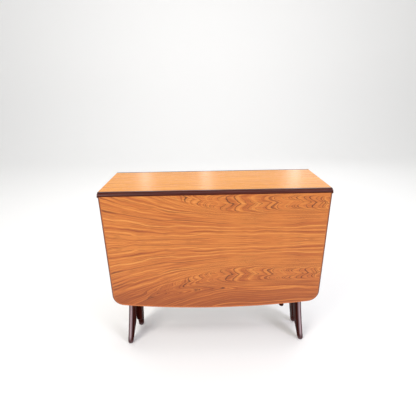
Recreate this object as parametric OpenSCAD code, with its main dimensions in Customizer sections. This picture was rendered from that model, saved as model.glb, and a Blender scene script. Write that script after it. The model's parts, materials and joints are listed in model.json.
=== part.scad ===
// Drop-leaf table with two hanging leaves and two swinging gates.
// The origin is on the floor under the middle of the table, X runs along its length,
// the front is -Y and +Z is up. Both leaves hang and both gates are closed.

/* [Overall] */
// Height from the floor to the top surface
table_h = 735; // [715:1:755]
// Length of the fixed top, side to side
top_l = 810; // [800:1:830]
// Distance between the two joint lines on the fixed top
top_d = 271; // [266:1:290]
// Thickness of the top and of each leaf
board_t = 16; // [15.5:0.5:16.5]
// Thickness of the face veneer
veneer_t = 1; // [0.8:0.1:1.2]

/* [Leaves] */
// Width of a leaf, side to side
leaf_w = 803; // [780:1:803]
// Length of a leaf from its joint edge to the middle of its free edge
leaf_l = 470; // [440:1:480]
// How far the free edge rises from its middle to its sides
leaf_bow = 25; // [15:1:35]
// Radius of the two outer corners of a leaf
leaf_corner_r = 45; // [30:1:60]
// Width of the solid edging round the sides of the boards
edging_w = 7; // [6:1:9]

/* [Rule joint] */
// Radius of the rounded edge of the fixed top
ovolo_r = 10; // [9.5:0.5:10]
// Depth of the square step above the rounded edge
quirk = 2.5; // [2:0.5:2.5]
// Play between the rounded edge and the hollow of the leaf
joint_gap = 0.7; // [0.5:0.1:0.9]
// Depth of the solid strip that carries the rounded edge
lipping_d = 10; // [8:1:16]
// Depth of the solid strip that carries the hollow
cove_d = 25; // [22:1:30]

/* [Hinges] */
// Width of a hinge
hinge_w = 34; // [30:1:40]
// Distance of the outer hinges from the middle
hinge_x = 270; // [240:1:290]
// Thickness of the hinge plates
plate_t = 1.5; // [1.2:0.1:1.8]
// Radius of the hinge knuckles
knuckle_r = 3; // [2.8:0.1:3]
// Radius of the hinge pins
pin_r = 1.5; // [1.2:0.1:1.6]

/* [Frame] */
// Height of the rails under the top
rail_h = 64; // [50:1:70]
// Thickness of the rails
rail_t = 18; // [16:1:20]
// Half the length of the frame, to the outside of its end rails
frame_x = 324; // [320:1:326]
// Half the depth of the frame, to the outside of its long rails
frame_y = 45; // [42:1:46]
// Height of the underside of the lower frame
lower_z = 210; // [205:1:220]

/* [Legs] */
// Thickness of a leg, side to side
leg_w = 26; // [22:1:28]
// Depth of a leg above its taper
leg_d = 66; // [56:1:68]
// Depth of a leg at its foot
foot_d = 24; // [22:1:28]
// Distance of the outer faces of the legs from the middle
leg_y = 70; // [68:1:72]
// Distance of three of the feet from the middle
foot_x = 382; // [375:1:390]
// Distance of the back left foot from the middle
near_foot_x = 355; // [345:1:360]

/* [Gates] */
// Distance of a gate's pivot from the middle, along the table
gate_x = 283; // [278:1:284]
// Distance of a gate's middle plane from the middle of the table
gate_y = 60; // [60:1:61]
// Angle at which an open gate meets its stop
gate_open = 50; // [45:1:55]

/* [Hidden] */

// colours
veneer_col = "peru";
edging_col = "sienna";
dark_col = "#3a1b18";
rail_col = "#4a2a20";
core_col = "burlywood";
brass_col = "goldenrod";
steel_col = "silver";
glide_col = "#2b2b2b";

// heights and joint lines
under_z = table_h - board_t;
pin_drop = quirk + ovolo_r;
pin_z = table_h - pin_drop;
pin_up = board_t - pin_drop;
joint_y = top_d / 2;
rail_z = under_z - rail_h;
leaf_play = 0.4;
cut = 1;

// free edge of a leaf: an arc through its middle, and a smaller arc at each corner
bow_x = leaf_w / 2;
bow_r = (bow_x * bow_x + leaf_bow * leaf_bow) / (2 * leaf_bow);
bow_y = bow_r - leaf_l;
corner_x = leaf_w / 2 - leaf_corner_r;
corner_y = bow_y - sqrt(pow(bow_r - leaf_corner_r, 2) - corner_x * corner_x);

// hinges
hinge_places = [-hinge_x, 0, hinge_x];
knuckles = 5;
knuckle_gap = 0.4;
knuckle_w = (hinge_w - (knuckles - 1) * knuckle_gap) / knuckles;
top_plate_l = 28;
leaf_plate_l = 44;
pin_play = 0.05;
mortise_r = knuckle_r + 1;
screw_r = 1.6;
screw_head_r = 3;
screw_l = 9;
top_screws = [[-11, 11], [11, 11], [0, 22]];
leaf_screws = [[-11, -19], [11, -19], [0, -36]];

// frame
block_s = 28;
block_h = 30;
bracket_w = 18;
bracket_l = 18;
bracket_t = 1.6;
bracket_places = [-200, 0, 200];
leg_screw_y = 21.5;
leg_screw_heights = [rail_z + 10, rail_z + 24];
beam_h = 30;
arm_h = 25;
arm_w = 20;
arm_l = 90;
cross_x = 322;

// legs
knee_z = 430;
low_z = 200;
foot_z = 2;
fixed_x = frame_x + leg_w / 2;
swing_x = fixed_x + 2;
glide_r = 8;
glide_stem_r = 2.5;

// gates
gate_top = under_z - 2;
stile_w = 22;
stile_top = under_z - 29;
stile_low = lower_z + arm_h + 1;
gate_rail_t = 18;
gate_rail_h = 50;
gate_lower_z = 250;
gate_lower_h = 40;
gate_house = 6;
pivot_r = 4;
pivot_play = 0.05;
pivot_l = 22;
spigot_r = 6.5;
knob_r = 9.5;
knob_h = 22;
block_d = 31;
stop_l = 60;
stop_w = 20;
stop_t = 12;

module turned() { rotate([0, 0, 180]) children(); }

// puts a shape drawn round the joint pin, leaf raised, onto the front joint
module at_joint() { translate([0, -joint_y, pin_z]) children(); }

// the same, and lets the leaf hang
module hanging() { at_joint() rotate([90, 0, 0]) children(); }

module along_x(r, x0, x1) {
    translate([x0, 0, 0]) rotate([0, 90, 0]) cylinder(r = r, h = x1 - x0, $fn = 96);
}

// countersunk screw, its head's face at z = 0 and its point down
module screw(r, head_r, length) {
    translate([0, 0, -length]) cylinder(r = r, h = length, $fn = 32);
    translate([0, 0, r - head_r]) cylinder(r1 = r, r2 = head_r, h = head_r - r, $fn = 32);
}

// ---- hinges, drawn round the pin ----

module knuckle(i, bore_r) {
    x0 = -hinge_w / 2 + i * (knuckle_w + knuckle_gap);
    difference() {
        along_x(knuckle_r, x0, x0 + knuckle_w);
        along_x(bore_r, x0 - cut, x0 + knuckle_w + cut);
    }
}

// one plate of a hinge: side 1 reaches under the top, side -1 under the leaf
module hinge_plate(side, length, own, bore_r, screws) {
    difference() {
        translate([-hinge_w / 2, side > 0 ? 0 : -length, -pin_up]) cube([hinge_w, length, plate_t]);
        along_x(bore_r, -hinge_w, hinge_w);
        for (i = [0 : knuckles - 1]) {
            if (i % 2 != own) {
                translate([-hinge_w / 2 + i * (knuckle_w + knuckle_gap) - knuckle_gap,
                        -knuckle_r - 0.6, -pin_up - cut])
                    cube([knuckle_w + 2 * knuckle_gap, 2 * knuckle_r + 1.2, plate_t + 2 * cut]);
            }
        }
        for (s = screws) {
            translate([s[0], s[1], -pin_up]) mirror([0, 0, 1]) screw(screw_r, screw_head_r, screw_l);
        }
    }
    for (i = [own : 2 : knuckles - 1]) {
        knuckle(i, bore_r);
    }
}

module hinge_screws(screws) {
    for (x = hinge_places) {
        for (s = screws) {
            translate([x + s[0], s[1], -pin_up]) mirror([0, 0, 1]) screw(screw_r, screw_head_r, screw_l);
        }
    }
}

// room for the hinges in the fixed top
module top_mortises() {
    for (x = hinge_places) {
        translate([x, 0, 0]) {
            along_x(mortise_r, -hinge_w / 2 - 0.5, hinge_w / 2 + 0.5);
            translate([-hinge_w / 2, 0, -pin_up - cut]) cube([hinge_w, top_plate_l, plate_t + cut]);
            translate([-hinge_w / 2 - 0.5, -ovolo_r - cut, -pin_up - cut])
                cube([hinge_w + 1, ovolo_r + cut + mortise_r, pin_up + cut - knuckle_r + 1.4]);
        }
    }
    hinge_screws(top_screws);
}

// room for the hinges in a leaf
module leaf_mortises() {
    for (x = hinge_places) {
        translate([x - hinge_w / 2, -leaf_plate_l, -pin_up - cut])
            cube([hinge_w, leaf_plate_l, plate_t + cut]);
    }
    hinge_screws(leaf_screws);
}

module hinge_top_plates() {
    color(brass_col) at_joint() for (x = hinge_places) {
        translate([x, 0, 0]) hinge_plate(1, top_plate_l, 0, pin_r, top_screws);
    }
}

module hinge_leaf_plates() {
    color(brass_col) hanging() for (x = hinge_places) {
        translate([x, 0, 0]) hinge_plate(-1, leaf_plate_l, 1, pin_r + pin_play, leaf_screws);
    }
}

module hinge_pins() {
    color(steel_col) at_joint() for (x = hinge_places) {
        translate([x, 0, 0]) along_x(pin_r, -hinge_w / 2, hinge_w / 2);
    }
}

module hinge_top_screws() { color(brass_col) at_joint() hinge_screws(top_screws); }

module hinge_leaf_screws() { color(brass_col) hanging() hinge_screws(leaf_screws); }

// ---- fixed top ----

module top_core() {
    color(core_col) difference() {
        translate([-top_l / 2 + edging_w, -joint_y + lipping_d, under_z])
            cube([top_l - 2 * edging_w, top_d - 2 * lipping_d, board_t - veneer_t]);
        at_joint() top_mortises();
        turned() at_joint() top_mortises();
        bracket_bores();
    }
}

module top_veneer() {
    color(veneer_col) translate([-top_l / 2, -joint_y + lipping_d, table_h - veneer_t])
        cube([top_l, top_d - 2 * lipping_d, veneer_t]);
}

// section of the solid edge, drawn round the pin: x is the depth, y the height
module lipping_section() {
    translate([0, -pin_up]) square([lipping_d, board_t]);
    intersection() {
        circle(r = ovolo_r, $fn = 128);
        translate([-ovolo_r - cut, -pin_up]) square([ovolo_r + 2 * cut, board_t]);
    }
}

module top_lipping() {
    color(dark_col) difference() {
        at_joint() translate([-top_l / 2, 0, 0]) rotate([90, 0, 90])
            linear_extrude(height = top_l) lipping_section();
        at_joint() top_mortises();
    }
}

module top_edging() {
    color(edging_col) translate([top_l / 2 - edging_w, -joint_y + lipping_d, under_z])
        cube([edging_w, top_d - 2 * lipping_d, board_t - veneer_t]);
}

// ---- leaves, drawn raised round the pin and then hung ----

// outline of a leaf, drawn in from its sides and free edge
module leaf_outline(inset) {
    side = leaf_w / 2 - inset;
    meet_x = corner_x * (bow_r - inset) / (bow_r - leaf_corner_r);
    intersection() {
        translate([0, bow_y]) circle(r = bow_r - inset, $fn = 1440);
        translate([-meet_x, -leaf_l - cut]) square([2 * meet_x, leaf_l + cut - leaf_play]);
    }
    translate([-side, corner_y]) square([2 * side, -corner_y - leaf_play]);
    for (s = [-1, 1]) {
        translate([s * corner_x, corner_y]) circle(r = leaf_corner_r - inset, $fn = 96);
    }
}

module leaf_slab(inset, z0, z1) {
    translate([0, 0, z0]) linear_extrude(height = z1 - z0) leaf_outline(inset);
}

module leaf_hollow() { along_x(ovolo_r + joint_gap, -leaf_w, leaf_w); }

module leaf_core() {
    color(core_col) hanging() difference() {
        leaf_slab(edging_w, -pin_up, pin_drop - veneer_t);
        translate([-leaf_w, -cove_d, -board_t]) cube([2 * leaf_w, 2 * cove_d, 2 * board_t]);
        leaf_mortises();
    }
}

module leaf_veneer() {
    color(veneer_col) hanging() leaf_slab(edging_w, pin_drop - veneer_t, pin_drop);
}

module leaf_cove() {
    color(edging_col) hanging() difference() {
        translate([-leaf_w / 2 + edging_w, -cove_d, -pin_up])
            cube([leaf_w - 2 * edging_w, cove_d - leaf_play, board_t - veneer_t]);
        leaf_hollow();
        leaf_mortises();
    }
}

module leaf_edging() {
    color(edging_col) hanging() difference() {
        leaf_slab(0, -pin_up, pin_drop);
        leaf_slab(edging_w, -board_t, board_t);
        translate([-leaf_w / 2 + edging_w, -cove_d, -board_t])
            cube([leaf_w - 2 * edging_w, 2 * cove_d, 2 * board_t]);
        leaf_hollow();
    }
}

// block under the leaf that the open gate leg comes up against
module leaf_stop() {
    leg_front = leg_y - gate_y;
    color(dark_col) hanging() translate([gate_x, joint_y - gate_y, -pin_up - stop_t])
        rotate([0, 0, gate_open])
            translate([-gate_x - swing_x - stop_l / 2, -leg_front - stop_w, 0])
                cube([stop_l, stop_w, stop_t]);
}

// ---- frame under the top ----

module long_rail() {
    color(rail_col) difference() {
        translate([-frame_x + rail_t, -frame_y, rail_z]) cube([2 * (frame_x - rail_t), rail_t, rail_h]);
        bracket_bores();
    }
}

// right end rail: it reaches out at the front to carry the fixed leg
module end_rail() {
    color(rail_col) difference() {
        translate([frame_x - rail_t, -leg_y, rail_z]) cube([rail_t, leg_y + frame_y, rail_h]);
        leg_screw_pair();
    }
}

module centre_cross_rail() {
    inner = frame_y - rail_t;
    color(rail_col) translate([-rail_t / 2, -inner, rail_z]) cube([rail_t, 2 * inner, rail_h]);
}

module corner_blocks() {
    color(rail_col) for (sx = [-1, 1]) {
        for (sy = [-1, 1]) {
            translate([sx * (frame_x - rail_t), sy * (frame_y - rail_t), under_z - block_h])
                linear_extrude(height = block_h)
                    polygon([[0, 0], [-sx * block_s, 0], [0, -sy * block_s * 0.8]]);
        }
    }
}

// places of the angle brackets: the corner between a long rail and the top
module at_brackets() {
    for (turn = [0, 180]) {
        rotate([0, 0, turn]) for (x = bracket_places) {
            translate([x + 30, -frame_y + rail_t, under_z]) children();
        }
    }
}

module bracket_screw_pair() {
    translate([0, bracket_l * 0.6, -bracket_t]) mirror([0, 0, 1])
        screw(screw_r, screw_head_r, screw_l);
    translate([0, bracket_t, -bracket_l * 0.6]) rotate([90, 0, 0])
        screw(screw_r, screw_head_r, screw_l);
}

module bracket_bores() { at_brackets() bracket_screw_pair(); }

module top_brackets() {
    color(steel_col) at_brackets() difference() {
        union() {
            translate([-bracket_w / 2, 0, -bracket_t]) cube([bracket_w, bracket_l, bracket_t]);
            translate([-bracket_w / 2, 0, -bracket_l]) cube([bracket_w, bracket_t, bracket_l]);
        }
        bracket_screw_pair();
    }
}

module bracket_screws() { color(steel_col) bracket_bores(); }

// ---- lower frame ----

module lower_beam() {
    reach = cross_x - rail_t;
    color(rail_col) translate([-reach, -rail_t / 2, lower_z]) cube([2 * reach, rail_t, beam_h]);
}

module lower_cross() {
    color(rail_col) translate([cross_x - rail_t, -gate_y + arm_w / 2, lower_z])
        cube([rail_t, gate_y - arm_w / 2 + rail_t / 2, arm_h]);
}

module arm_body() {
    translate([gate_x - arm_w, -gate_y - arm_w / 2, lower_z]) cube([arm_l, arm_w, arm_h]);
}

// short arm from the fixed leg, bored for the foot of the gate's post
module lower_arm() {
    color(rail_col) difference() {
        arm_body();
        translate([gate_x, -gate_y, lower_z - cut])
            cylinder(r = spigot_r + pivot_play, h = arm_h + 2 * cut, $fn = 96);
    }
}

// ---- legs ----

// right-hand leg: upright down to the knee, then splayed and tapered to its foot
module leg_body(top_x, low_x, end_x, top_z) {
    half = leg_w / 2;
    foot_half = half - 1;
    intersection() {
        translate([0, leg_y, 0]) rotate([90, 0, 0]) linear_extrude(height = 2 * leg_y)
            polygon([[top_x + half, top_z], [top_x + half, knee_z], [low_x + half, low_z],
                [end_x + foot_half, foot_z], [end_x - foot_half, foot_z],
                [low_x - half, low_z], [top_x - half, knee_z], [top_x - half, top_z]]);
        rotate([90, 0, 90]) linear_extrude(height = top_l)
            polygon([[-leg_y, foot_z], [foot_d - leg_y, foot_z], [foot_d - leg_y + 5, 22],
                [foot_d - leg_y + 17, 47], [leg_d - leg_y, 74],
                [leg_d - leg_y, top_z], [-leg_y, top_z]]);
    }
}

module glide(x) {
    translate([x, -leg_y + foot_d / 2, 0]) {
        cylinder(r = glide_r, h = foot_z, $fn = 48);
        cylinder(r = glide_stem_r, h = foot_z + 12, $fn = 32);
    }
}

module fixed_leg(end_x) {
    low_x = fixed_x + (end_x - fixed_x) * 0.4;
    color(dark_col) difference() {
        leg_body(fixed_x, low_x, end_x, under_z);
        arm_body();
        glide(end_x);
        leg_screw_pair();
    }
}

// two screws from inside the frame through the end rail into the fixed leg
module leg_screw_pair() {
    for (z = leg_screw_heights) {
        translate([frame_x - rail_t, -leg_screw_y, z]) {
            rotate([0, -90, 0]) cylinder(r = 5, h = 2.5, $fn = 32);
            rotate([0, 90, 0]) cylinder(r = 2.5, h = rail_t + 12, $fn = 32);
        }
    }
}

module leg_screws() {
    color(steel_col) leg_screw_pair();
    color(steel_col) turned() leg_screw_pair();
}

module fixed_leg_glides() {
    color(glide_col) glide(foot_x);
    color(glide_col) turned() glide(near_foot_x);
}

// ---- front gate, its pivot at the right and its leg at the left ----

module gate_top_rail_body() {
    translate([-swing_x + leg_w / 2 - gate_house, -gate_y - gate_rail_t / 2, stile_top - gate_rail_h])
        cube([swing_x - leg_w / 2 + gate_x - stile_w / 2 + 2 * gate_house, gate_rail_t, gate_rail_h]);
}

module gate_lower_rail_body() {
    reach = swing_x + (foot_x - swing_x) * 0.25;
    translate([-reach, -gate_y - gate_rail_t / 2, gate_lower_z])
        cube([reach + gate_x - stile_w / 2 + gate_house, gate_rail_t, gate_lower_h]);
}

module gate_top_rail() { color(rail_col) gate_top_rail_body(); }

module gate_lower_rail() { color(rail_col) gate_lower_rail_body(); }

module gate_leg() {
    low_x = swing_x + (foot_x - swing_x) * 0.4;
    color(dark_col) difference() {
        mirror([1, 0, 0]) leg_body(swing_x, low_x, foot_x, gate_top);
        gate_top_rail_body();
        gate_lower_rail_body();
        gate_glide_body();
    }
}

module gate_glide_body() { mirror([1, 0, 0]) glide(foot_x); }

module gate_glide() { color(glide_col) gate_glide_body(); }

// post of the gate with a round spigot that turns in the lower arm
module gate_stile() {
    color(dark_col) difference() {
        translate([gate_x, -gate_y, 0]) {
            translate([-stile_w / 2, -stile_w / 2, stile_low])
                cube([stile_w, stile_w, stile_top - stile_low]);
            translate([0, 0, lower_z - knob_h / 2])
                cylinder(r = spigot_r, h = stile_low - lower_z + knob_h / 2, $fn = 96);
        }
        gate_top_rail_body();
        gate_lower_rail_body();
        gate_pin_body();
    }
}

module gate_pin_body() {
    translate([gate_x, -gate_y, stile_top - pivot_l]) cylinder(r = pivot_r, h = 2 * pivot_l, $fn = 64);
}

module gate_pin() { color(steel_col) gate_pin_body(); }

// turned end under the arm, glued on the spigot
module gate_knob() {
    top = lower_z - 1.5;
    color(dark_col) translate([gate_x, -gate_y, 0]) difference() {
        translate([0, 0, top - knob_h]) rotate_extrude($fn = 96)
            difference() {
                square([knob_r, knob_h]);
                translate([knob_r, 0]) polygon([[0, -cut], [0, 3], [-3, 0], [-3, -cut], [0, -cut]]);
            }
        translate([0, 0, lower_z - knob_h / 2]) cylinder(r = spigot_r, h = knob_h, $fn = 96);
    }
}

// block under the top that holds the upper end of the gate's pin
module pivot_block() {
    color(rail_col) difference() {
        translate([gate_x - 20, -frame_y - block_d, stile_top + 2])
            cube([40, block_d, under_z - stile_top - 2]);
        translate([gate_x, -gate_y, stile_top])
            cylinder(r = pivot_r + pivot_play, h = pivot_l + 1, $fn = 64);
    }
}

top_core();
top_veneer();
top_lipping();  // front_top_lipping
turned() top_lipping();  // back_top_lipping
turned() top_edging();  // left_top_edging
top_edging();  // right_top_edging
leaf_core();  // front_leaf_core
leaf_veneer();  // front_leaf_veneer
leaf_cove();  // front_leaf_cove
leaf_edging();  // front_leaf_edging
leaf_stop();  // front_leaf_stop
turned() leaf_core();  // back_leaf_core
turned() leaf_veneer();  // back_leaf_veneer
turned() leaf_cove();  // back_leaf_cove
turned() leaf_edging();  // back_leaf_edging
turned() leaf_stop();  // back_leaf_stop
hinge_top_plates();  // front_hinge_top_plates
hinge_leaf_plates();  // front_hinge_leaf_plates
hinge_pins();  // front_hinge_pins
hinge_top_screws();  // front_hinge_top_screws
hinge_leaf_screws();  // front_hinge_leaf_screws
turned() hinge_top_plates();  // back_hinge_top_plates
turned() hinge_leaf_plates();  // back_hinge_leaf_plates
turned() hinge_pins();  // back_hinge_pins
turned() hinge_top_screws();  // back_hinge_top_screws
turned() hinge_leaf_screws();  // back_hinge_leaf_screws
long_rail();  // front_rail
turned() long_rail();  // back_rail
turned() end_rail();  // left_end_rail
end_rail();  // right_end_rail
centre_cross_rail();
corner_blocks();
top_brackets();
bracket_screws();
fixed_leg(foot_x);  // fixed_leg_front_right
turned() fixed_leg(near_foot_x);  // fixed_leg_back_left
leg_screws();
fixed_leg_glides();
lower_beam();
lower_cross();  // right_lower_cross
turned() lower_cross();  // left_lower_cross
lower_arm();  // front_lower_arm
turned() lower_arm();  // back_lower_arm
pivot_block();  // front_pivot_block
gate_leg();  // front_gate_leg
gate_top_rail();  // front_gate_top_rail
gate_lower_rail();  // front_gate_lower_rail
gate_stile();  // front_gate_stile
gate_pin();  // front_gate_pin
gate_knob();  // front_gate_knob
gate_glide();  // front_gate_glide
turned() pivot_block();  // back_pivot_block
turned() gate_leg();  // back_gate_leg
turned() gate_top_rail();  // back_gate_top_rail
turned() gate_lower_rail();  // back_gate_lower_rail
turned() gate_stile();  // back_gate_stile
turned() gate_pin();  // back_gate_pin
turned() gate_knob();  // back_gate_knob
turned() gate_glide();  // back_gate_glide
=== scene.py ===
import json
import math

import bpy
import numpy as np
from mathutils import Matrix, Vector


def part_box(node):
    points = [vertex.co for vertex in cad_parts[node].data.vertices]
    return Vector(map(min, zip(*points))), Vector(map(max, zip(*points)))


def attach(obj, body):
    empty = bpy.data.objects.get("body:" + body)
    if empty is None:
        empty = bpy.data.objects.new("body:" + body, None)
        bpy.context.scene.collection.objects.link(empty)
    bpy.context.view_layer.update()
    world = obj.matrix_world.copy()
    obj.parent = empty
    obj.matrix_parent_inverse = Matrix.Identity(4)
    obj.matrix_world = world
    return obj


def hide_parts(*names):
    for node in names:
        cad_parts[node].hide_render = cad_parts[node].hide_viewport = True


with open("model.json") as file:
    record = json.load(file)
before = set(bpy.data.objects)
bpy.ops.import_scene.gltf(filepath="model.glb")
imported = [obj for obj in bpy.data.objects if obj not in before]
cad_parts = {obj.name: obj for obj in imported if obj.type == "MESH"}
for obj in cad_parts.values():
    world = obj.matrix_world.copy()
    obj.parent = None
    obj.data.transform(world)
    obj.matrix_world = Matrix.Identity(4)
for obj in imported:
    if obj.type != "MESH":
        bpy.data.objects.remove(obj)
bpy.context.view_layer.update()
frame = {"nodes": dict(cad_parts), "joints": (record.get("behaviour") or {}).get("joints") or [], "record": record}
mm = 0.001
pins = {j["name"]: Vector(j["pos_m"]) for j in frame["joints"]}
print("frame loaded,", len(frame["nodes"]), "nodes")


cameraSetup = {
    "place": (-37.4, -1152.3, 1064.5),    # mm
    "turn": 0.63, "tilt": 21.17, "roll": -0.91, "lens": 26.9}


def makeCamera(s):
    # turn is to the right of +Y, tilt down from level, roll about the line of sight, in degrees
    turn, tilt, roll = (math.radians(s[k]) for k in ("turn", "tilt", "roll"))
    ahead = Vector((math.sin(turn) * math.cos(tilt), math.cos(turn) * math.cos(tilt),
                    -math.sin(tilt)))
    level = Vector((math.cos(turn), -math.sin(turn), 0))
    over = level.cross(ahead)
    right = level * math.cos(roll) + over * math.sin(roll)
    up = over * math.cos(roll) - level * math.sin(roll)
    data = bpy.data.cameras.new("camera")
    data.lens = s["lens"]
    data.dof.use_dof = False
    cam = bpy.data.objects.new("camera", data)
    cam.matrix_world = Matrix((right, up, -ahead)).transposed().to_4x4()
    cam.location = Vector(s["place"]) * mm
    bpy.context.scene.collection.objects.link(cam)
    bpy.context.scene.camera = cam


def linearColour(code):
    # sRGB hex to linear: c/12.92 under 0.04045, else ((c + 0.055)/1.055)^2.4
    c = np.array([int(code[i:i + 2], 16) for i in (1, 3, 5)]) / 255
    c = np.where(c <= 0.04045, c / 12.92, ((c + 0.055) / 1.055) ** 2.4)
    return (*c.tolist(), 1.0)


def setInputs(tree, node, inputs):
    # an input gets a value or another node's output
    for key, value in inputs.items():
        if isinstance(value, bpy.types.NodeSocket):
            tree.links.new(value, node.inputs[key])
        else:
            node.inputs[key].default_value = value


def addNode(tree, kind, settings=None, inputs=None):
    # one node with its settings and links
    node = tree.nodes.new(kind)
    for key, value in (settings or {}).items():
        setattr(node, key, value)
    setInputs(tree, node, inputs or {})
    return node


def newMaterial(name):
    # an empty node tree with a Principled shader on its output
    mat = bpy.data.materials.new(name)
    mat.use_nodes = True
    tree = mat.node_tree
    tree.nodes.clear()
    shader = addNode(tree, "ShaderNodeBsdfPrincipled")
    addNode(tree, "ShaderNodeOutputMaterial", None, {"Surface": shader.outputs[0]})
    return mat, tree, shader


def setRamp(node, stops):
    # stops are (place, hex colour), in order
    ramp = node.color_ramp
    while len(ramp.elements) < len(stops):
        ramp.elements.new(0.5)
    for element, (place, code) in zip(ramp.elements, stops):
        element.position = place
        element.color = linearColour(code)
    return node.outputs["Color"]


def addSteps(tree, known, steps):
    # a chain of nodes. Each step is (name, operation, terms in order) or (name, type of node,
    # inputs); a word names an earlier step's result, a number is itself
    for name, kind, *terms in steps:
        inputs = terms[0] if isinstance(terms[0], dict) else dict(enumerate(terms))
        inputs = {key: known[term] if isinstance(term, str) else term
                  for key, term in inputs.items()}
        if kind.startswith("ShaderNode"):
            node = addNode(tree, kind, None, inputs)
        else:
            node = addNode(tree, "ShaderNodeMath", {"operation": kind}, inputs)
        known[name] = node.outputs[0]


usualNoise = (0.3, 0.7)    # nearly all of a noise's values lie between these


stageSetup = {"half": 9.0, "back": 3.6, "bend": 1.6, "wall": 7.0, "steps": 17,
              "colour": "#fbfbfa", "rough": 0.9}


def makeStage(s):
    # profile in Y and Z: flat floor, a quarter bend, a wall; carried straight along X
    bend = np.linspace(0, math.pi / 2, s["steps"])
    wallY = s["back"] + s["bend"]
    y = np.concatenate(([-s["half"]], s["back"] + s["bend"] * np.sin(bend), [wallY]))
    z = np.concatenate(([0.0], s["bend"] * (1 - np.cos(bend)), [s["wall"]]))
    x = np.array([-s["half"], s["half"]])
    grid = np.stack(np.broadcast_arrays(x[:, None], y[None], z[None]), -1).reshape(-1, 3)
    n = len(y)
    i = np.arange(n - 1)
    mesh = bpy.data.meshes.new("studioFloor")
    mesh.from_pydata(grid.tolist(), [], np.stack([i, i + n, i + n + 1, i + 1], -1).tolist())
    mesh.shade_smooth()
    mat, tree, shader = newMaterial("matt painted studio floor")
    setInputs(tree, shader, {"Base Color": linearColour(s["colour"]), "Roughness": s["rough"]})
    mesh.materials.append(mat)
    floor = bpy.data.objects.new("studioFloor", mesh)
    bpy.context.scene.collection.objects.link(floor)


roomSetup = {"colour": "#ffffff", "strength": 0.55}
lightSetup = {    # metres and watts
    "keySoftbox": {"place": (-1.6, -1.9, 2.6), "target": (0, 0, 0.5), "size": (1.0, 1.4),
                   "power": 52, "colour": "#fffaf4"},
    "fillSoftbox": {"place": (2.0, -1.9, 2.4), "target": (0, 0, 0.5), "size": (0.9, 1.4),
                    "power": 40, "colour": "#f4f2ff"},
    "overheadSoftbox": {"place": (0.3, 0.2, 3.4), "target": (0, 0, 0.7), "size": (2.6, 2.0),
                        "power": 26, "colour": "#ffffff"},
    "wallWash": {"place": (0, 1.4, 3.6), "target": (0, 4.2, 1.6), "size": (5.0, 0.6),
                 "power": 45, "colour": "#ffffff"},
    "sideWindow": {"place": (1.9, 3.2, 1.65), "target": (0.4, 0, 0.7), "size": (1.6, 1.2),
                   "power": 3.2, "colour": "#ffffff"}}
for k, x in enumerate((-0.73, -0.015, 1.03)):    # tall strips, reflected in the polished top
    lightSetup[f"windowStrip{k}"] = {"place": (x, 2.4, 1.42), "target": (x * 0.5, 0, 0.8),
                                     "size": (0.11, 1.0), "power": 0.6, "colour": "#ffffff"}


def makeLights(room, lights):
    world = bpy.data.worlds.new("paleRoom")
    world.use_nodes = True
    setInputs(world.node_tree, world.node_tree.nodes["Background"],
              {"Color": linearColour(room["colour"]), "Strength": room["strength"]})
    bpy.context.scene.world = world
    for name, s in lights.items():
        data = bpy.data.lights.new(name, "AREA")
        data.shape = "RECTANGLE"
        data.size, data.size_y = s["size"]
        data.energy = s["power"]
        data.color = linearColour(s["colour"])[:3]
        lamp = bpy.data.objects.new(name, data)
        lamp.location = s["place"]
        aim = Vector(s["target"]) - Vector(s["place"])
        lamp.rotation_euler = aim.to_track_quat("-Z", "Y").to_euler()
        lamp.visible_camera = False
        bpy.context.scene.collection.objects.link(lamp)


makeCamera(cameraSetup)
makeStage(stageSetup)
makeLights(roomSetup, lightSetup)
bpy.context.scene.view_settings.view_transform = "Standard"
print("camera, floor and lights made")


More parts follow.
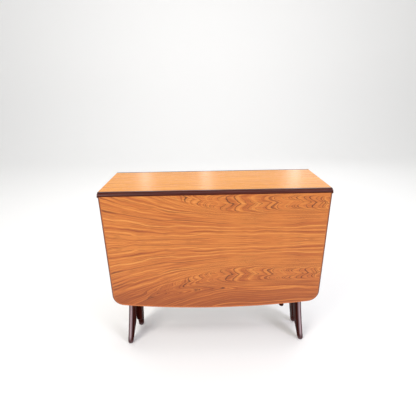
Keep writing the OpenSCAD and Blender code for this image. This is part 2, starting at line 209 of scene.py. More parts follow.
def veneerFigure(tree, look, flip):
    # growth rings as contours of a height over the sheet. Away from the heart it is the distance
    # from the match line over the ring gap, drawn together towards the left; in the heart, a
    # flat-topped band exp(-share^4), that slope fades and a ramp along the grain takes over,
    # pushed to and fro by a triangle wave, so the rings zigzag. All lengths are in mm
    place = addNode(tree, "ShaderNodeTexCoord").outputs["Object"]
    parts = addNode(tree, "ShaderNodeSeparateXYZ", None, {0: place}).outputs
    known = {"X": parts["X"], "down": parts[look["across"]]}
    addSteps(tree, known, [
        ("x", "MULTIPLY", "X", flip / mm),
        ("s", "MULTIPLY_ADD", "down", look["acrossSign"] / mm, look["zero"]),
        ("slip", "SUBTRACT", "s", look["match"]),
        ("away", "ABSOLUTE", "slip"),
        ("west", "SUBTRACT", "x", look["sweepEnd"]),
        ("west0", "SMOOTH_MIN", "west", 0.0, look["sweepSoft"]),
        ("pull", "MULTIPLY_ADD", "west0", look["sweep"], 1.0),
        ("v", "MULTIPLY", "away", "pull"),
        ("sheet", "ShaderNodeCombineXYZ", {0: "x", 1: "v"})])
    for wave, (along, across) in (("slow", look["slowWave"]), ("quick", look["quickWave"])):
        addSteps(tree, known, [
            ("laid", "ShaderNodeMapping", {"Vector": "sheet", "Scale": (1 / along, 1 / across, 1)}),
            (wave, "ShaderNodeTexNoise", {"Vector": "laid", "Scale": 1.0, "Detail": 2.0})])
    addSteps(tree, known, [
        ("slow0", "SUBTRACT", "slow", 0.5),
        ("quick0", "SUBTRACT", "quick", 0.5),
        ("v1", "MULTIPLY_ADD", "slow0", look["slowBend"], "v"),
        ("v2", "MULTIPLY_ADD", "quick0", look["quickBend"], "v1"),
        ("from", "SUBTRACT", "v2", look["heartPlace"]),
        ("widen", "MULTIPLY_ADD", "x", 1 / look["heartGrow"], look["heartFull"]),
        ("widen0", "MAXIMUM", "widen", look["heartLeast"]),
        ("widen1", "MINIMUM", "widen0", 1.0),
        ("half", "MULTIPLY", "widen1", look["heartWidth"]),
        ("share", "DIVIDE", "from", "half"),
        ("square", "MULTIPLY", "share", "share"),
        ("fourth", "MULTIPLY", "square", "square"),
        ("fall", "MULTIPLY", "fourth", -1.0),
        ("band", "EXPONENT", "fall"),
        ("turn", "MULTIPLY_ADD", "from", 1 / look["zigLength"], 0.5),
        ("saw", "PINGPONG", "turn", 0.5),
        ("saw0", "SUBTRACT", "saw", 0.25),
        ("x1", "MULTIPLY_ADD", "saw0", -4 * look["zigWidth"], "x"),
        ("x2", "MULTIPLY_ADD", "quick0", look["zigWander"], "x1"),
        ("x3", "MULTIPLY_ADD", "slow0", look["zigWander"] * 2, "x2"),
        ("run", "SUBTRACT", "x3", look["heartStart"]),
        ("run0", "MAXIMUM", "run", 0.0),
        ("ramp", "DIVIDE", "run0", look["heartGap"]),
        ("begun", "DIVIDE", "run0", look["heartFade"]),
        ("begun0", "MINIMUM", "begun", look["heartShare"]),
        ("fade", "MULTIPLY", "begun0", "band"),
        ("keep", "SUBTRACT", 1.0, "fade"),
        ("slope", "DIVIDE", "from", look["ringGap"]),
        ("slope0", "MULTIPLY", "slope", "keep"),
        ("hill", "MULTIPLY", "ramp", "band"),
        ("rings", "ADD", "hill", "slope0")])
    return known


def teakVeneer(name, look, flip=1):
    # teak, sliced and satin lacquered: open-grained orange-brown slices under a soft gloss.
    # Thin dark lines lie where a jittered count of rings is near a whole number
    mat, tree, shader = newMaterial(name)
    known = veneerFigure(tree, look, flip)
    addSteps(tree, known, [
        ("broad", "MULTIPLY", "rings", look["bandRate"]),
        ("thin", "MULTIPLY_ADD", "rings", look["veinRate"], look["veinShift"]),
        ("finer", "MULTIPLY_ADD", "rings", look["threadRate"], look["threadShift"])])
    for result, count, detail, rough in (("tint", "broad", 5.0, 0.7), ("vein", "thin", 1.0, 0.5),
                                         ("thread", "finer", 1.0, 0.5)):
        known[result] = addNode(tree, "ShaderNodeTexNoise", {"noise_dimensions": "1D"},
                                {"W": known[count], "Scale": 1.0, "Detail": detail,
                                 "Roughness": rough}).outputs[0]
    for pattern, (along, across), detail in (("patches", look["patchSize"], 1.0),
                                             ("pores", look["poreSize"], 2.0),
                                             ("streaks", look["streakSize"], 3.0)):
        addSteps(tree, known, [
            ("laid", "ShaderNodeMapping", {"Vector": "sheet", "Scale": (1 / along, 1 / across, 1)}),
            (pattern, "ShaderNodeTexNoise", {"Vector": "laid", "Scale": 1.0, "Detail": detail})])
    addSteps(tree, known, [
        ("streak0", "SUBTRACT", "streaks", 0.5),
        ("tint0", "SUBTRACT", "tint", 0.5),
        ("calm", "MULTIPLY_ADD", "fade", -look["heartCalm"], 1.0),
        ("tint1", "MULTIPLY_ADD", "tint0", "calm", 0.5),
        ("tone0", "MULTIPLY_ADD", "streak0", look["streakShare"], "tint1"),
        # painted shade: the tone darkens steadily from a set distance below the hinge line downwards, standing in
        # for light falling off towards the leaf's bottom
        ("low", "SUBTRACT", "s", look["paintedShadeFrom"]),
        ("low0", "MAXIMUM", "low", 0.0),
        ("tone", "MULTIPLY_ADD", "low0", -look["paintedShadeRate"], "tone0"),
        ("patch0", "SUBTRACT", "patches", look["patchFrom"]),
        ("patch1", "MULTIPLY", "patch0", look["veinShare"]),
        ("patch2", "MAXIMUM", "patch1", 0.0),
        ("inHeart", "MULTIPLY_ADD", "fade", 1 - look["veinOutside"], look["veinOutside"])])
    for line, noise, count, width in (("veinLine", "vein", "thin", look["veinWidth"]),
                                      ("threadLine", "thread", "finer", look["threadWidth"])):
        addSteps(tree, known, [
            ("off", "MULTIPLY_ADD", noise, look["lineJitter"], count),
            ("gap", "PINGPONG", "off", 0.5),
            ("near", "DIVIDE", "gap", width),
            ("line", "SUBTRACT", 1.0, "near"),
            ("line0", "MAXIMUM", "line", 0.0),
            (line, "MULTIPLY", "line0", "inHeart")])
    addSteps(tree, known, [
        ("both", "MULTIPLY_ADD", "threadLine", look["threadShare"], "veinLine"),
        ("dark", "MULTIPLY", "both", "patch2"),
        ("dark0", "MINIMUM", "dark", look["darkest"]),
        ("pore0", "SUBTRACT", "pores", look["poreFrom"]),
        ("pore1", "MULTIPLY", "pore0", look["poreShare"]),
        ("pore2", "MAXIMUM", "pore1", 0.0)])
    wood = setRamp(addNode(tree, "ShaderNodeValToRGB", None, {0: known["tone"]}), look["colours"])
    for share, colour in (("dark0", "veinColour"), ("pore2", "poreColour")):
        wood = addNode(tree, "ShaderNodeMix", {"data_type": "RGBA", "blend_type": "MIX"},
                       {0: known[share], 6: wood, 7: linearColour(look[colour])}).outputs[2]
    bump = addNode(tree, "ShaderNodeBump", None,
                   {"Strength": look["bump"], "Distance": look["poreDepth"] * mm,
                    "Height": known["pores"]})
    rough = addNode(tree, "ShaderNodeMapRange", None,
                    {0: known["pores"], 1: usualNoise[0], 2: usualNoise[1],
                     3: look["roughLow"], 4: look["roughHigh"]})
    setInputs(tree, shader, {
        "Base Color": wood, "Roughness": rough.outputs[0], "Normal": bump.outputs[0],
        "Specular IOR Level": look["specular"], "Coat Weight": look["coat"],
        "Coat Roughness": look["coatRough"]})
    return mat


# lengths and sizes in mm, sizes as along and across the grain; rates are per growth ring
leafLook = {
    "across": "Z", "acrossSign": -1, "zero": pins["front_leaf_hinge"].z / mm, "match": 176,
    "slowWave": (240, 85), "quickWave": (40, 20), "slowBend": 40, "quickBend": 5,
    "sweep": 0.0012, "sweepEnd": 30, "sweepSoft": 160, "heartCalm": 0.4,
    "heartPlace": 140, "heartWidth": 50, "heartStart": -300, "heartGap": 26,
    "heartShare": 0.94, "heartGrow": 430, "heartFull": 0.8, "heartLeast": 0.3, "heartFade": 260,
    "zigWidth": 27, "zigLength": 62, "zigWander": 26, "ringGap": 9, "bandRate": 0.95,
    "veinRate": 0.42, "veinShift": 31.7, "veinWidth": 0.036, "veinShare": 9.0,
    "veinOutside": 0.4, "threadRate": 1.1, "threadShift": 77.3, "threadWidth": 0.085,
    "threadShare": 0.7, "lineJitter": 0.8, "darkest": 0.8, "patchSize": (90, 26),
    "patchFrom": 0.36, "streakSize": (220, 4.2), "streakShare": 0.5,
    "poreSize": (42, 2.6), "poreFrom": 0.56, "poreShare": 2.8,    # real pores are 0.3 mm wide;
    "paintedShadeFrom": 300, "paintedShadeRate": 0.0014,                           # drawn coarser so they show
    "bump": 0.12, "poreDepth": 0.2, "roughLow": 0.32, "roughHigh": 0.42,
    "coat": 0.08, "coatRough": 0.25, "specular": 0.36,
    "colours": [(0.3, "#9a4c1c"), (0.44, "#b9652a"), (0.56, "#cb7b34"), (0.74, "#db9046")],
    "veinColour": "#3c1608", "poreColour": "#8a4a1a"}
topLook = {    # the same, with no heart: straight fine lines only
    "across": "Y", "acrossSign": 1, "zero": 400, "match": 0,
    "slowWave": (420, 90), "quickWave": (90, 20), "slowBend": 12, "quickBend": 2,
    "sweep": 0.0, "sweepEnd": 0, "sweepSoft": 0, "heartCalm": 0.0,
    "heartPlace": 900, "heartWidth": 40, "heartStart": 900, "heartGap": 30,
    "heartShare": 0, "heartGrow": 430, "heartFull": 1, "heartLeast": 0.3, "heartFade": 200,
    "zigWidth": 0, "zigLength": 60, "zigWander": 0, "ringGap": 9, "bandRate": 0.9,
    "veinRate": 0.4, "veinShift": 31.7, "veinWidth": 0.012, "veinShare": 1.6,
    "veinOutside": 1.0, "threadRate": 1.3, "threadShift": 77.3, "threadWidth": 0.16,
    "threadShare": 0.4, "lineJitter": 0.8, "darkest": 0.8, "patchSize": (90, 26),
    "patchFrom": 0.36, "streakSize": (260, 4.2), "streakShare": 0.7,
    "poreSize": (60, 2.6), "poreFrom": 0.56, "poreShare": 1.2,
    "paintedShadeFrom": 900, "paintedShadeRate": 0.0,
    "bump": 0.12, "poreDepth": 0.2, "roughLow": 0.2, "roughHigh": 0.3,
    "coat": 0.0, "coatRough": 0.16, "specular": 0.22,
    "colours": [(0.3, "#bd6c1c"), (0.44, "#d18426"), (0.56, "#de922c"), (0.74, "#e8a238")],
    "veinColour": "#8a4c26", "poreColour": "#b06a30"}


def plankWood(name, look, grain):
    # solid wood cut along the grain axis: long fibres stretched along it, rings as soft stripes across it;
    # a second colour where the piece's per-point attribute is high: wear on rails and leg feet, painted highlight
    # on leg fronts, painted shade on leaf-edging sides
    mat, tree, shader = newMaterial(name)
    place = addNode(tree, "ShaderNodeTexCoord").outputs["Object"]
    noises = {}
    for pattern, detail, distortion in (("fibre", 3.0, 0.0), ("ring", 2.0, 0.4)):
        scale = [1 / (look[pattern] * mm)] * 3
        scale["XYZ".index(grain)] = 1 / (look[pattern + "Length"] * mm)
        stretched = addNode(tree, "ShaderNodeMapping", None, {"Vector": place, "Scale": scale})
        noises[pattern] = addNode(tree, "ShaderNodeTexNoise", None,
                                  {"Vector": stretched.outputs[0], "Scale": 1.0,
                                   "Detail": detail, "Distortion": distortion}).outputs[0]
    both = addNode(tree, "ShaderNodeMix", {"data_type": "FLOAT"},
                   {0: look["fibreShare"], 2: noises["ring"], 3: noises["fibre"]})
    wood = setRamp(addNode(tree, "ShaderNodeValToRGB", None, {0: both.outputs[0]}),
                   look["colours"])
    # per-point attribute: wear on rails and leg feet, painted highlight down the legs' fronts, painted shade on
    # the leaf edging's upright edges
    wearAndPaintedLight = addNode(tree, "ShaderNodeAttribute", {"attribute_name": "wearAndPaintedLight"})
    edge = addNode(tree, "ShaderNodeMath", {"operation": "MULTIPLY"},
                   {0: wearAndPaintedLight.outputs["Fac"], 1: look["wearAndPaintedLightShare"]})
    wornAndPaintedLight = addNode(tree, "ShaderNodeMix", {"data_type": "RGBA", "blend_type": "MIX"},
                   {0: edge.outputs[0], 6: wood, 7: linearColour(look["wearAndPaintedLightColour"])})
    rough = addNode(tree, "ShaderNodeMapRange", None,
                    {0: noises["fibre"], 1: usualNoise[0], 2: usualNoise[1],
                     3: look["roughLow"], 4: look["roughHigh"]})
    bump = addNode(tree, "ShaderNodeBump", None,
                   {"Strength": look["bump"], "Distance": look["fibreDepth"] * mm,
                    "Height": noises["fibre"]})
    setInputs(tree, shader, {
        "Base Color": wornAndPaintedLight.outputs[2], "Roughness": rough.outputs[0], "Normal": bump.outputs[0],
        "Specular IOR Level": look["specular"], "Coat Weight": look["coat"],
        "Coat Roughness": look["coatRough"]})
    return mat


# solid teak edging, planed and satin lacquered: plainer than the veneer; its dark second colour is painted shade
# on the leaf edging's upright outer edges
solidTeakLook = {
    "fibre": 1.6, "fibreLength": 40, "ring": 7, "ringLength": 160,
    "fibreShare": 0.45, "fibreDepth": 0.3, "roughLow": 0.31, "roughHigh": 0.44,
    "coat": 0.25, "coatRough": 0.25, "bump": 0.12, "specular": 0.36,
    "colours": [(0.3, "#a8561f"), (0.5, "#bd672c"), (0.7, "#cb783a")],
    "wearAndPaintedLightColour": "#3c1c10", "wearAndPaintedLightShare": 0.9}
# beech stained nearly black and sprayed with lacquer: dark red-brown with hardly any shine on
# its sides; its pale second colour is painted highlight down the rounded front, in place of a reflection, and wear
# at the foot
darkLegLook = {
    "fibre": 1.2, "fibreLength": 30, "ring": 9, "ringLength": 200,
    "fibreShare": 0.45, "fibreDepth": 0.3, "roughLow": 0.25, "roughHigh": 0.38,
    "coat": 0.0, "coatRough": 0.15, "bump": 0.1, "specular": 0.004,
    "colours": [(0.3, "#240805"), (0.5, "#38110b"), (0.72, "#4c1d13")],
    "wearAndPaintedLightColour": "#bfaab0", "wearAndPaintedLightShare": 0.8}
# the same stained beech where hands and cloths have polished it: redder and glossier
lippingLook = {
    **darkLegLook, "specular": 0.22,
    "colours": [(0.3, "#300d09"), (0.5, "#471810"), (0.72, "#5e281a")]}
# beech rails, stained and left nearly matt: darker in the hollows of the grain
railLook = {
    "fibre": 1.4, "fibreLength": 34, "ring": 11, "ringLength": 220,
    "fibreShare": 0.45, "fibreDepth": 0.3, "roughLow": 0.5, "roughHigh": 0.63,
    "coat": 0.08, "coatRough": 0.4, "bump": 0.2, "specular": 0.3,
    "colours": [(0.3, "#3c2118"), (0.5, "#573225"), (0.72, "#6f4432")],
    "wearAndPaintedLightColour": "#8c6350", "wearAndPaintedLightShare": 0.35}
# blockboard with a plain backing veneer, sanded and sealed: pale, dry and even
boardLook = {
    "fibre": 1.8, "fibreLength": 50, "ring": 16, "ringLength": 260,
    "fibreShare": 0.45, "fibreDepth": 0.3, "roughLow": 0.55, "roughHigh": 0.68,
    "coat": 0.0, "coatRough": 0.5, "bump": 0.15, "specular": 0.3,
    "colours": [(0.3, "#9c6a3f"), (0.5, "#b98553"), (0.72, "#cfa06c")],
    "wearAndPaintedLightColour": "#9c6a3f", "wearAndPaintedLightShare": 0.0}


def metalOrPlastic(name, look):
    # one colour broken up by a fine mottle, drawn out along X on rolled metal
    mat, tree, shader = newMaterial(name)
    place = addNode(tree, "ShaderNodeTexCoord").outputs["Object"]
    grit = addNode(tree, "ShaderNodeMapping", None,
                   {"Vector": place, "Scale": [1 / (g * mm) for g in look["grit"]]})
    noise = addNode(tree, "ShaderNodeTexNoise", None,
                    {"Vector": grit.outputs[0], "Scale": 1.0, "Detail": 3.0}).outputs[0]
    colour = setRamp(addNode(tree, "ShaderNodeValToRGB", None, {0: noise}), look["colours"])
    rough = addNode(tree, "ShaderNodeMapRange", None,
                    {0: noise, 1: usualNoise[0], 2: usualNoise[1],
                     3: look["roughLow"], 4: look["roughHigh"]})
    bump = addNode(tree, "ShaderNodeBump", None,
                   {"Strength": look["bump"], "Distance": look["gritDepth"] * mm,
                    "Height": noise})
    setInputs(tree, shader, {"Base Color": colour, "Roughness": rough.outputs[0],
                             "Normal": bump.outputs[0], "Metallic": look["metal"]})
    return mat


# rolled brass, dulled in air: soft yellow with fine lines along its rolling
brassLook = {
    "grit": (9, 0.6, 0.6), "gritDepth": 0.1, "bump": 0.1, "roughLow": 0.28, "roughHigh": 0.44,
    "metal": 1.0, "colours": [(0.3, "#9c7b3e"), (0.5, "#b8954f"), (0.7, "#cdac68")]}
# steel plated bright with zinc: cool grey with a fine even grain
steelLook = {
    "grit": (1.2, 1.2, 1.2), "gritDepth": 0.1, "bump": 0.1, "roughLow": 0.32,
    "roughHigh": 0.48, "metal": 1.0,
    "colours": [(0.3, "#94979a"), (0.5, "#aeb1b3"), (0.7, "#c2c4c5")]}
# black nylon, moulded, then scuffed by the floor: dull, with paler specks
nylonLook = {
    "grit": (0.8, 0.8, 0.8), "gritDepth": 0.1, "bump": 0.1, "roughLow": 0.44,
    "roughHigh": 0.6, "metal": 0.0,
    "colours": [(0.3, "#1d1b1a"), (0.5, "#282524"), (0.7, "#37332f")]}

materials = {
    "frontVeneer": teakVeneer("sliced teak veneer, satin lacquered", leafLook),
    "backVeneer": teakVeneer("sliced teak veneer of the back leaf, satin lacquered", leafLook, -1),
    "topVeneer": teakVeneer("straight-grained teak veneer, polished", topLook),
    "teakX": plankWood("solid teak along the length", solidTeakLook, "X"),
    "teakY": plankWood("solid teak along the depth", solidTeakLook, "Y"),
    "darkX": plankWood("stained beech lipping, satin lacquered", lippingLook, "X"),
    "darkZ": plankWood("stained beech leg, satin lacquered", darkLegLook, "Z"),
    "railX": plankWood("stained beech rail along the length", railLook, "X"),
    "railY": plankWood("stained beech rail along the depth", railLook, "Y"),
    "board": plankWood("blockboard with backing veneer", boardLook, "X"),
    "brass": metalOrPlastic("rolled brass", brassLook),
    "steel": metalOrPlastic("zinc plated steel", steelLook),
    "nylon": metalOrPlastic("moulded nylon", nylonLook)}
print("materials made:", len(materials))


def ringFaces(rows, count):
    # quads between each ring and the next, with the last point of a ring joined to its first
    i, j = np.meshgrid(np.arange(rows - 1), np.arange(count), indexing="ij")
    k = (j + 1) % count
    low, high = i * count, (i + 1) * count
    return np.stack([low + j, low + k, high + k, high + j], -1).reshape(-1, 4)


def signedVolume(points, faces):
    # sum over triangles of a . (b x c) / 6, with each face fanned from its first corner
    total = 0.0
    for size in {len(f) for f in faces}:
        f = np.array([g for g in faces if len(g) == size])
        a = points[f[:, 0]][:, None]
        total += np.sum(a * np.cross(points[f[:, 1:-1]], points[f[:, 2:]]))
    return total / 6


sharpAngle = 38    # degrees; an edge that bends more than this is drawn crisp


def makePiece(name, points, faces, body, material, stands, wearAndPaintedLight=None):
    # a mesh whose faces point outwards, riding on its body and standing for its CAD node
    if signedVolume(points, faces) < 0:
        faces = [f[::-1] for f in faces]
    mesh = bpy.data.meshes.new(name)
    mesh.from_pydata(points.tolist(), [], faces)
    mesh.shade_smooth()
    mesh.set_sharp_from_angle(angle=math.radians(sharpAngle))
    # the per-point attribute carries wear and painted light, depending on the piece
    if wearAndPaintedLight is not None:
        layer = mesh.attributes.new("wearAndPaintedLight", "FLOAT", "POINT")
        layer.data.foreach_set("value", np.asarray(wearAndPaintedLight, np.float32).ravel())
    mesh.materials.append(materials[material])
    obj = bpy.data.objects.new(name, mesh)
    bpy.context.scene.collection.objects.link(obj)
    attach(obj, body)
    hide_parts(stands)


def roundedSection(width, depth, radius, steps):
    # closed outline of a rectangle with round corners: four arcs about the corners' centres.
    # Arrays of widths, depths and radii give one outline each
    width, depth, radius = (np.asarray(v, float)[..., None, None] for v in (width, depth, radius))
    turn = (np.arange(4)[:, None] * 90 + np.linspace(0, 90, steps)) * math.pi / 180
    x = np.array([1, -1, -1, 1])[:, None] * (width / 2 - radius) + radius * np.cos(turn)
    y = np.array([1, 1, -1, -1])[:, None] * (depth / 2 - radius) + radius * np.sin(turn)
    return np.stack([x, y], -1).reshape(*x.shape[:-2], -1, 2)


def cappedRings(rings):
    # rings joined by quads, with the first and the last ring closed by one face each
    rows, count = rings.shape[:2]
    faces = ringFaces(rows, count).tolist()
    faces.append(list(range(count))[::-1])
    faces.append(list(range((rows - 1) * count, rows * count)))
    return rings.reshape(-1, 3), faces


def boxOf(node):
    return (np.array(corner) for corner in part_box(node))


def bodyOf(node):
    bodies = frame["record"]["behaviour"]["bodies"]
    return next(body for body, nodes in bodies.items() if node in nodes)


barSetup = {"round": 1.2 * mm, "leastRound": 0.05 * mm, "steps": 4, "rubbed": 0.9}
barNodes = {    # each with the direction of its grain
    "front_rail": "X", "back_rail": "X", "left_end_rail": "Y", "right_end_rail": "Y",
    "centre_cross_rail": "Y", "lower_beam": "X", "right_lower_cross": "Y",
    "left_lower_cross": "Y", "front_lower_arm": "X", "back_lower_arm": "X",
    "front_pivot_block": "X", "back_pivot_block": "X", "front_gate_top_rail": "X",
    "back_gate_top_rail": "X", "front_gate_lower_rail": "X", "back_gate_lower_rail": "X"}


def makeBar(node, grain, s):
    # rounded rectangle carried along the grain; near each end it draws in by a quarter circle
    low, high = boxOf(node)
    middle, size = (low + high) / 2, high - low
    a = "XYZ".index(grain)
    b, c = [k for k in range(3) if k != a]
    turn = np.linspace(0, math.pi / 2, s["steps"])
    inset = s["round"] * (1 - np.sin(turn))
    along = -size[a] / 2 + s["round"] * (1 - np.cos(turn))
    along = np.concatenate((along, -along[::-1]))
    inset = np.concatenate((inset, inset[::-1]))
    corner = np.maximum(s["round"] - inset, s["leastRound"])
    section = roundedSection(size[b] - 2 * inset, size[c] - 2 * inset, corner, s["steps"])
    rings = np.zeros((*section.shape[:2], 3))
    rings[:, :, a] = along[:, None]
    rings[:, :, b] = section[..., 0]
    rings[:, :, c] = section[..., 1]
    points, faces = cappedRings(rings + middle)
    onFaces = (np.abs(points - middle) > size / 2 - s["round"] * s["rubbed"]).sum(1)
    makePiece(node + "_made", points, faces, bodyOf(node), "rail" + grain, node,
              wearAndPaintedLight=onFaces > 1)


for node, grain in barNodes.items():
    makeBar(node, grain, barSetup)
print("rails made:", len(barNodes))


legSetup = {
    "width": 26 * mm, "footWidth": 24 * mm, "knee": 430 * mm, "splay": 1.5,
    "heel": (2, 22, 47, 74, 900), "heelDepth": (24, 29, 41, 66, 66),    # mm, height and depth
    "round": 11 * mm, "footRound": 10.5 * mm, "leastRound": 1.5 * mm, "sole": 8 * mm,
    "soleIn": 4.5 * mm, "soleRound": 0.6, "crown": (0, 0.4 * mm, 1.2 * mm), "neck": 3 * mm,
    "neckRows": 6, "rows": 60, "soleRows": 9, "corner": 10, "leastFlat": 0.02 * mm,
    # painted highlight down each leg's front: its offset, width and fade towards the foot
    "highlightPlace": 2 * mm, "highlightWidth": 4.6 * mm, "highlightFade": 30 * mm, "highlightEnd": 0.4,
    "scuff": 0.35, "scuffHeight": 26 * mm}
legNodes = {"fixed_leg_front_right": "frame", "fixed_leg_back_left": "frame",
            "front_gate_leg": "front_gate", "back_gate_leg": "back_gate"}


def makeLeg(node, body, s):
    # rounded blade carried down a line that leaves the upright as drop^splay below the knee; its
    # depth is read off the heel's heights, and its foot is closed by a quarter round. A painted
    # highlight, exp(-(offset/width)^2) across the front and gone where the corner has turned to the side, stands
    # in for a reflection on the lacquer; the pale scuff at the foot is wear
    low, high = boxOf(node)
    sideX, sideY = np.sign(low[:2] + high[:2])
    outer = max(abs(low[0]), abs(high[0]))
    inner = min(abs(low[0]), abs(high[0]))
    face = max(abs(low[1]), abs(high[1]))
    top, foot = high[2], low[2]
    crown = np.array(s["crown"])
    turn = np.linspace(0, math.pi / 2, s["soleRows"])
    z = np.concatenate((top - crown,
                        np.linspace(top - s["neck"], s["knee"], s["neckRows"]),
                        np.linspace(s["knee"], foot + s["sole"], s["rows"])[1:],
                        (foot + s["sole"] * (1 - np.sin(turn)))[1:]))
    inset = np.concatenate((crown[::-1], np.zeros(s["neckRows"] + s["rows"] - 1),
                            (s["soleIn"] * (1 - np.cos(turn)))[1:]))
    drop = np.clip((s["knee"] - z) / (s["knee"] - foot), 0, 1)
    start = inner + s["width"] / 2
    middle = start + (outer - s["footWidth"] / 2 - start) * drop ** s["splay"]
    width = s["width"] - (s["width"] - s["footWidth"]) * drop - 2 * inset
    depth = np.minimum(np.interp(z / mm, s["heel"], s["heelDepth"]) * mm, high[1] - low[1])
    radius = s["round"] - (s["round"] - s["footRound"]) * drop - inset * s["soleRound"]
    radius = np.minimum(np.maximum(radius, s["leastRound"]), width / 2 - s["leastFlat"])
    section = roundedSection(width, depth - 2 * inset, radius, s["corner"])
    across, back = section[..., 0], depth[:, None] / 2 - section[..., 1]
    rings = np.stack([across + middle[:, None], section[..., 1] + face - depth[:, None] / 2,
                      np.broadcast_to(z[:, None], across.shape)], -1)
    points, faces = cappedRings(rings * (sideX, sideY, 1))
    # painted highlight: a pale stripe down each leg's front, standing in for a reflection on the lacquer
    paintedHighlight = np.exp(-((across - s["highlightPlace"]) / s["highlightWidth"]) ** 2)
    paintedHighlight *= np.clip(1 - back / s["round"], 0, 1)
    paintedHighlight *= np.clip(z / s["highlightFade"] - s["highlightEnd"], 0, 1)[:, None]
    scuff = s["scuff"] * np.clip(1 - z / s["scuffHeight"], 0, 1)[:, None]
    makePiece(node + "_made", points, faces, body, "darkZ", node,
              wearAndPaintedLight=np.maximum(paintedHighlight, scuff))


for node, body in legNodes.items():
    makeLeg(node, body, legSetup)
print("legs made:", len(legNodes))


postSetup = {"round": 2.2 * mm, "spigot": 13 * mm, "shoulder": 1.5 * mm, "bevel": 1 * mm,
             "clear": 1 * mm, "corner": 10, "leastFlat": 0.01 * mm}
knobSetup = {"round": 4 * mm, "neck": 1.2 * mm, "necking": 2 * mm, "lip": 0.5 * mm,
             "bowlRows": 8, "points": 48}
glideSetup = {"stem": 2.5 * mm, "round": 0.8 * mm, "bevel": 0.3, "disc": 2 * mm, "points": 40}


def makePost(side, s):
    # square post with round corners, necked down to the round spigot that turns in the arm
    node = side + "_gate_stile"
    low, high = boxOf(node)
    full, pin = high[0] - low[0], s["spigot"]
    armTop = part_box(side + "_lower_arm")[1].z + s["clear"]
    z = np.array([high[2], high[2] - s["bevel"], armTop + s["shoulder"], armTop, armTop, low[2]])
    width = np.array([full - 2 * s["bevel"], full, full, full - 2 * s["shoulder"], pin, pin])
    corner = np.where(width == pin, width / 2 - s["leastFlat"], s["round"])
    section = roundedSection(width, width, corner, s["corner"])
    rings = np.concatenate((section + (low[:2] + high[:2]) / 2,
                            np.broadcast_to(z[:, None, None], (*section.shape[:2], 1))), -1)
    points, faces = cappedRings(rings)
    makePiece(node + "_made", points, faces, side + "_gate", "darkZ", node)


def makeTurned(node, body, profile, count, material):
    # profile of radius and height turned once round the node's own upright axis
    low, high = boxOf(node)
    turn = np.linspace(0, 2 * math.pi, count, endpoint=False)
    r, z = profile.T
    rings = np.stack([r[:, None] * np.cos(turn), r[:, None] * np.sin(turn),
                      np.broadcast_to(z[:, None], (len(z), count))], -1)
    points, faces = cappedRings(rings + np.array([*((low[:2] + high[:2]) / 2), 0]))
    makePiece(node + "_made", points, faces, body, material, node)


def makeKnob(side, s):
    # turned end of the post: a quarter round below, straight up, then a small neck
    node = side + "_gate_knob"
    low, high = boxOf(node)
    r, turn = (high[0] - low[0]) / 2, np.linspace(0, math.pi / 2, s["bowlRows"])
    bowl = np.stack([r - s["round"] * (1 - np.sin(turn)),
                     low[2] + s["round"] * (1 - np.cos(turn))], -1)
    above = [(r, high[2] - s["necking"]), (r - s["neck"], high[2] - s["lip"]),
             (r - 2 * s["neck"], high[2])]
    makeTurned(node, side + "_gate", np.concatenate((bowl, above)), s["points"],
               "darkZ")


def makeGlide(side, s):
    # flat disc with a rounded rim on a thin stem
    node = side + "_gate_glide"
    low, high = boxOf(node)
    r, edge, disc = (high[0] - low[0]) / 2, s["round"], low[2] + s["disc"]
    cut = s["bevel"] * edge
    profile = np.array([(r - edge, low[2]), (r - cut, low[2] + cut), (r, low[2] + edge),
                        (r, disc), (s["stem"], disc), (s["stem"], high[2])])
    makeTurned(node, side + "_gate", profile, s["points"], "nylon")


for side in ("front", "back"):
    makePost(side, postSetup)
    makeKnob(side, knobSetup)
    makeGlide(side, glideSetup)
print("posts, knobs and gate glides made")


leafSetup = {
    "bow": 25 * mm, "corner": 45 * mm, "edging": 7 * mm, "play": 0.4 * mm, "joint": 10.7 * mm,
    "frontRound": 2.6 * mm, "backRound": 1.6 * mm, "roundRows": 6, "flatRows": 12,
    "sideRows": 24, "cornerRows": 20, "bowRows": 60, "faceShade": 0.9}


def leafOutline(width, length, s, inset, starts):
    # down the side, round a corner arc and along the bow's arc to the middle, then mirrored;
    # starts is where the side begins below the joint line
    half = width / 2
    bowRadius = (half ** 2 + s["bow"] ** 2) / (2 * s["bow"])
    bowY = bowRadius - length
    cornerX = half - s["corner"]
    cornerY = bowY - math.sqrt((bowRadius - s["corner"]) ** 2 - cornerX ** 2)
    meet = math.atan2(cornerY - bowY, cornerX)
    down = np.linspace(0, 1, s["sideRows"])
    arc = np.linspace(0, meet, s["cornerRows"])[1:]
    bow = np.linspace(meet, -math.pi / 2, s["bowRows"])[1:]
    x = np.concatenate((np.full(len(down), half - inset),
                        cornerX + (s["corner"] - inset) * np.cos(arc),
                        (bowRadius - inset) * np.cos(bow)))
    y = np.concatenate((starts + (cornerY - starts) * down,
                        cornerY + (s["corner"] - inset) * np.sin(arc),
                        bowY + (bowRadius - inset) * np.sin(bow)))
    return np.stack([np.concatenate((x, -x[-2::-1])), np.concatenate((y, y[-2::-1]))], -1)


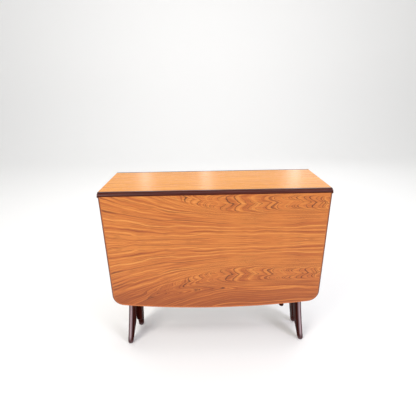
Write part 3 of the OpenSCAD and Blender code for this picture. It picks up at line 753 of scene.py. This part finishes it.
def makeEdging(side, s):
    # a strip with a rounded outer edge carried round the leaf's outline; its two ends follow the
    # hollow of the rule joint, joint^2 = height^2 + start^2. Its upright outer edges get painted shade, none along
    # the bow
    node = side + "_leaf_edging"
    low, high = boxOf(node)
    pin = np.array(pins[side + "_leaf_hinge"])
    face = max(abs(low[1]), abs(high[1])) - abs(pin[1])
    back = face - (high[1] - low[1])
    turn = np.linspace(0, math.pi / 2, s["roundRows"])
    flat = np.linspace(back + s["backRound"], face - s["frontRound"], s["flatRows"])[1:-1]
    z = np.concatenate((back + s["backRound"] * (1 - np.cos(turn)), flat,
                        (face - s["frontRound"] * (1 - np.cos(turn)))[::-1]))
    draw = np.concatenate((s["backRound"] * (1 - np.sin(turn)), np.zeros(len(flat)),
                           (s["frontRound"] * (1 - np.sin(turn)))[::-1]))
    starts = -np.maximum(s["play"], np.sqrt(np.maximum(s["joint"] ** 2 - z ** 2, 0)))
    width, length = high[0] - low[0], pin[2] - low[2]
    outer = np.stack([leafOutline(width, length, s, d, a) for d, a in zip(draw, starts)], 1)
    inner = np.stack([leafOutline(width, length, s, s["edging"], a) for a in starts], 1)[:, ::-1]
    plan = np.concatenate((outer, inner), 1)
    heights = np.broadcast_to(np.concatenate((z, z[::-1])), plan.shape[:2])
    turned = 1 if side == "front" else -1
    points = np.stack([turned * plan[..., 0], pin[1] - turned * heights,
                       pin[2] + plan[..., 1]], -1)
    rows, count = points.shape[:2]
    half = count // 2
    faces = ringFaces(rows, count).tolist()
    i = np.arange(half - 1)
    cap = np.stack([i, i + 1, count - 2 - i, count - 1 - i], -1)
    faces += cap.tolist() + (cap + (rows - 1) * count)[:, ::-1].tolist()
    # painted shade: the outer face is darkened where the outline runs upright, not along the bow
    along = np.gradient(leafOutline(width, length, s, 0, -s["play"]), axis=0)
    upright = np.abs(along[:, 1]) / np.linalg.norm(along, axis=1)
    shade = np.concatenate((np.ones(half), np.zeros(half)))
    shade[half - 1] = s["faceShade"]
    makePiece(node + "_made", points.reshape(-1, 3), faces, side + "_leaf",
              "teakX", node, wearAndPaintedLight=upright[:, None] * shade)


for side in ("front", "back"):
    makeEdging(side, leafSetup)
print("leaf edging made")


# finishes of the CAD nodes that stay
finishes = {
    "top_veneer": "topVeneer", "front_leaf_veneer": "frontVeneer",
    "back_leaf_veneer": "backVeneer", "front_top_lipping": "darkX", "back_top_lipping": "darkX",
    "left_top_edging": "teakY", "right_top_edging": "teakY", "front_leaf_cove": "teakX",
    "back_leaf_cove": "teakX", "top_core": "board", "front_leaf_core": "board",
    "back_leaf_core": "board", "front_leaf_stop": "darkX", "back_leaf_stop": "darkX",
    "corner_blocks": "railX", "top_brackets": "steel", "bracket_screws": "steel",
    "leg_screws": "steel", "fixed_leg_glides": "nylon", "front_gate_pin": "steel",
    "back_gate_pin": "steel"}
for side in ("front", "back"):
    finishes.update({side + "_hinge_" + part: "brass" for part in
                     ("top_plates", "leaf_plates", "top_screws", "leaf_screws")})
    finishes[side + "_hinge_pins"] = "steel"
for node, material in finishes.items():
    data = frame["nodes"][node].data
    data.materials.clear()
    data.materials.append(materials[material])
print("finishes set:", len(finishes))
